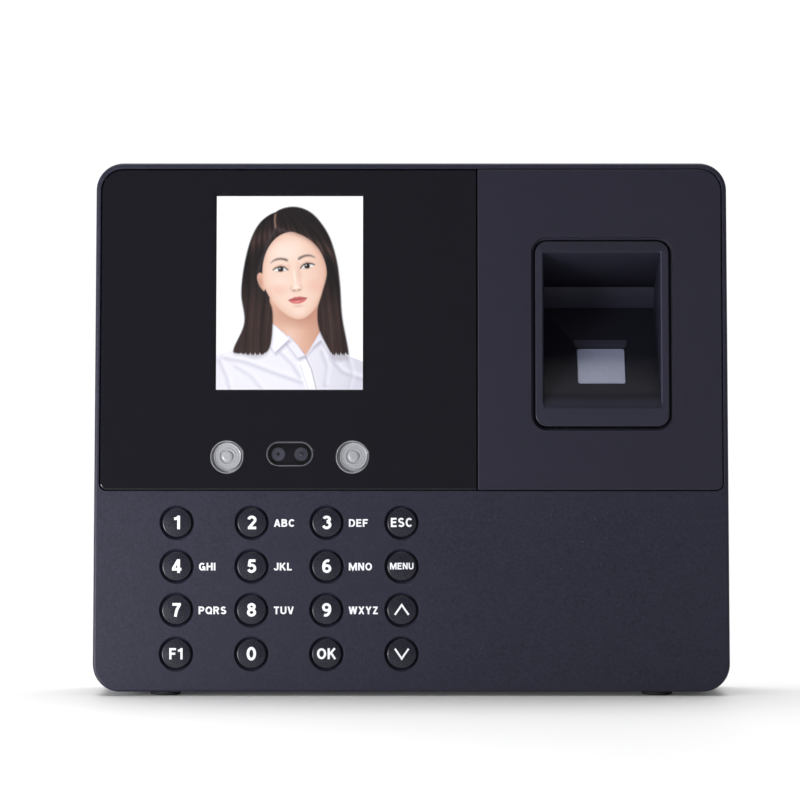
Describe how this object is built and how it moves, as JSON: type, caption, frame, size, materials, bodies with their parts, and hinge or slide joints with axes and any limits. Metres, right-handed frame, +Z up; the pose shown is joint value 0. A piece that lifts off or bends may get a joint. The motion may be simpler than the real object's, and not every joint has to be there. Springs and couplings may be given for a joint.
{
  "type": "fingerprint scanner terminal",
  "caption": "Desk or wall attendance terminal with a screen, lamps and cameras behind a gloss window, a recessed finger reader and a sprung keypad.",
  "frame": {"origin": "bottom centre of the terminal's box, on the surface that its feet stand on", "axes": "+X to the right as seen from the front, -Y towards the user, +Z up"},
  "size_m": [0.186, 0.045, 0.1563],
  "materials": {
    "front_shell_plastic": "fine-grained dark slate ABS",
    "rear_shell_plastic": "fine-grained dark slate ABS",
    "window_black": "polished black acrylic",
    "clear_window": "polished clear acrylic",
    "trim_grey": "satin grey",
    "camera_black": "black barrel with a coated lens",
    "circuit_board": "green solder mask",
    "lamp_diffuser": "frosted stepped diffuser",
    "lamp_board_white": "white board with a light-emitting diode",
    "panel_plastic": "fine matt dark slate",
    "well_plastic": "fine matt black",
    "sensor_glass": "frosted sensor window",
    "dark_plastic": "moulded black",
    "display_glass": "display module",
    "plated_steel": "tin plated",
    "silicone_rubber": "moulded silicone",
    "key_plastic": "satin moulded cap with a printed legend",
    "battery_wrap": "shrink wrap",
    "black_screws": "black oxide",
    "zinc_screws": "zinc plated",
    "plate_steel": "zinc-plated sheet",
    "foot_rubber": "moulded rubber",
    "flat_cable": "polyimide flat cable"
  },
  "bodies": {
    "housing": {"front_shell": "front_shell_plastic", "rear_shell": "rear_shell_plastic", "window_bezel": "window_black", "screen_lens": "clear_window", "camera_trim": "trim_grey", "camera_cover": "clear_window", "camera_visible": "camera_black", "camera_infrared": "camera_black", "camera_board": "circuit_board", "lamp_lens_left": "lamp_diffuser", "lamp_lens_right": "lamp_diffuser", "lamp_board_left": "lamp_board_white", "lamp_board_right": "lamp_board_white", "reader_panel": "panel_plastic", "reader_well": "well_plastic", "sensor_window": "sensor_glass", "sensor_housing": "dark_plastic", "sensor_board": "circuit_board", "lcd_panel": "display_glass", "lcd_frame": "plated_steel", "lcd_bracket": "plated_steel", "keypad_mat": "silicone_rubber", "keypad_board": "circuit_board", "main_board": "circuit_board", "io_board": "circuit_board", "usb_port": "plated_steel", "usb_board": "circuit_board", "ethernet_port": "plated_steel", "power_jack": "dark_plastic", "speaker": "dark_plastic", "backup_battery": "battery_wrap", "case_screws": "black_screws", "board_screws": "zinc_screws", "bracket_screws": "zinc_screws", "reader_screws": "zinc_screws", "keypad_screws": "zinc_screws", "wall_plate": "plate_steel", "lock_screw": "zinc_screws", "rubber_feet": "foot_rubber", "lcd_cable": "flat_cable", "sensor_cable": "flat_cable", "keypad_cable": "flat_cable"},
    "key_1_cap": {"key_1": "key_plastic"},
    "key_2_cap": {"key_2": "key_plastic"},
    "key_3_cap": {"key_3": "key_plastic"},
    "key_esc_cap": {"key_esc": "key_plastic"},
    "key_4_cap": {"key_4": "key_plastic"},
    "key_5_cap": {"key_5": "key_plastic"},
    "key_6_cap": {"key_6": "key_plastic"},
    "key_menu_cap": {"key_menu": "key_plastic"},
    "key_7_cap": {"key_7": "key_plastic"},
    "key_8_cap": {"key_8": "key_plastic"},
    "key_9_cap": {"key_9": "key_plastic"},
    "key_up_cap": {"key_up": "key_plastic"},
    "key_f1_cap": {"key_f1": "key_plastic"},
    "key_0_cap": {"key_0": "key_plastic"},
    "key_ok_cap": {"key_ok": "key_plastic"},
    "key_down_cap": {"key_down": "key_plastic"}
  },
  "joints": [
    {"name": "key_1_press", "type": "slide", "parent": "housing", "child": "key_1_cap", "axis": [0, 0.9945, -0.1045], "range_m": [0, 0.0012], "stiffness_N_per_m": 400, "springref_m": -0.0012},
    {"name": "key_2_press", "type": "slide", "parent": "housing", "child": "key_2_cap", "axis": [0, 0.9945, -0.1045], "range_m": [0, 0.0012], "stiffness_N_per_m": 400, "springref_m": -0.0012},
    {"name": "key_3_press", "type": "slide", "parent": "housing", "child": "key_3_cap", "axis": [0, 0.9945, -0.1045], "range_m": [0, 0.0012], "stiffness_N_per_m": 400, "springref_m": -0.0012},
    {"name": "key_esc_press", "type": "slide", "parent": "housing", "child": "key_esc_cap", "axis": [0, 0.9945, -0.1045], "range_m": [0, 0.0012], "stiffness_N_per_m": 400, "springref_m": -0.0012},
    {"name": "key_4_press", "type": "slide", "parent": "housing", "child": "key_4_cap", "axis": [0, 0.9945, -0.1045], "range_m": [0, 0.0012], "stiffness_N_per_m": 400, "springref_m": -0.0012},
    {"name": "key_5_press", "type": "slide", "parent": "housing", "child": "key_5_cap", "axis": [0, 0.9945, -0.1045], "range_m": [0, 0.0012], "stiffness_N_per_m": 400, "springref_m": -0.0012},
    {"name": "key_6_press", "type": "slide", "parent": "housing", "child": "key_6_cap", "axis": [0, 0.9945, -0.1045], "range_m": [0, 0.0012], "stiffness_N_per_m": 400, "springref_m": -0.0012},
    {"name": "key_menu_press", "type": "slide", "parent": "housing", "child": "key_menu_cap", "axis": [0, 0.9945, -0.1045], "range_m": [0, 0.0012], "stiffness_N_per_m": 400, "springref_m": -0.0012},
    {"name": "key_7_press", "type": "slide", "parent": "housing", "child": "key_7_cap", "axis": [0, 0.9945, -0.1045], "range_m": [0, 0.0012], "stiffness_N_per_m": 400, "springref_m": -0.0012},
    {"name": "key_8_press", "type": "slide", "parent": "housing", "child": "key_8_cap", "axis": [0, 0.9945, -0.1045], "range_m": [0, 0.0012], "stiffness_N_per_m": 400, "springref_m": -0.0012},
    {"name": "key_9_press", "type": "slide", "parent": "housing", "child": "key_9_cap", "axis": [0, 0.9945, -0.1045], "range_m": [0, 0.0012], "stiffness_N_per_m": 400, "springref_m": -0.0012},
    {"name": "key_up_press", "type": "slide", "parent": "housing", "child": "key_up_cap", "axis": [0, 0.9945, -0.1045], "range_m": [0, 0.0012], "stiffness_N_per_m": 400, "springref_m": -0.0012},
    {"name": "key_f1_press", "type": "slide", "parent": "housing", "child": "key_f1_cap", "axis": [0, 0.9945, -0.1045], "range_m": [0, 0.0012], "stiffness_N_per_m": 400, "springref_m": -0.0012},
    {"name": "key_0_press", "type": "slide", "parent": "housing", "child": "key_0_cap", "axis": [0, 0.9945, -0.1045], "range_m": [0, 0.0012], "stiffness_N_per_m": 400, "springref_m": -0.0012},
    {"name": "key_ok_press", "type": "slide", "parent": "housing", "child": "key_ok_cap", "axis": [0, 0.9945, -0.1045], "range_m": [0, 0.0012], "stiffness_N_per_m": 400, "springref_m": -0.0012},
    {"name": "key_down_press", "type": "slide", "parent": "housing", "child": "key_down_cap", "axis": [0, 0.9945, -0.1045], "range_m": [0, 0.0012], "stiffness_N_per_m": 400, "springref_m": -0.0012}
  ]
}
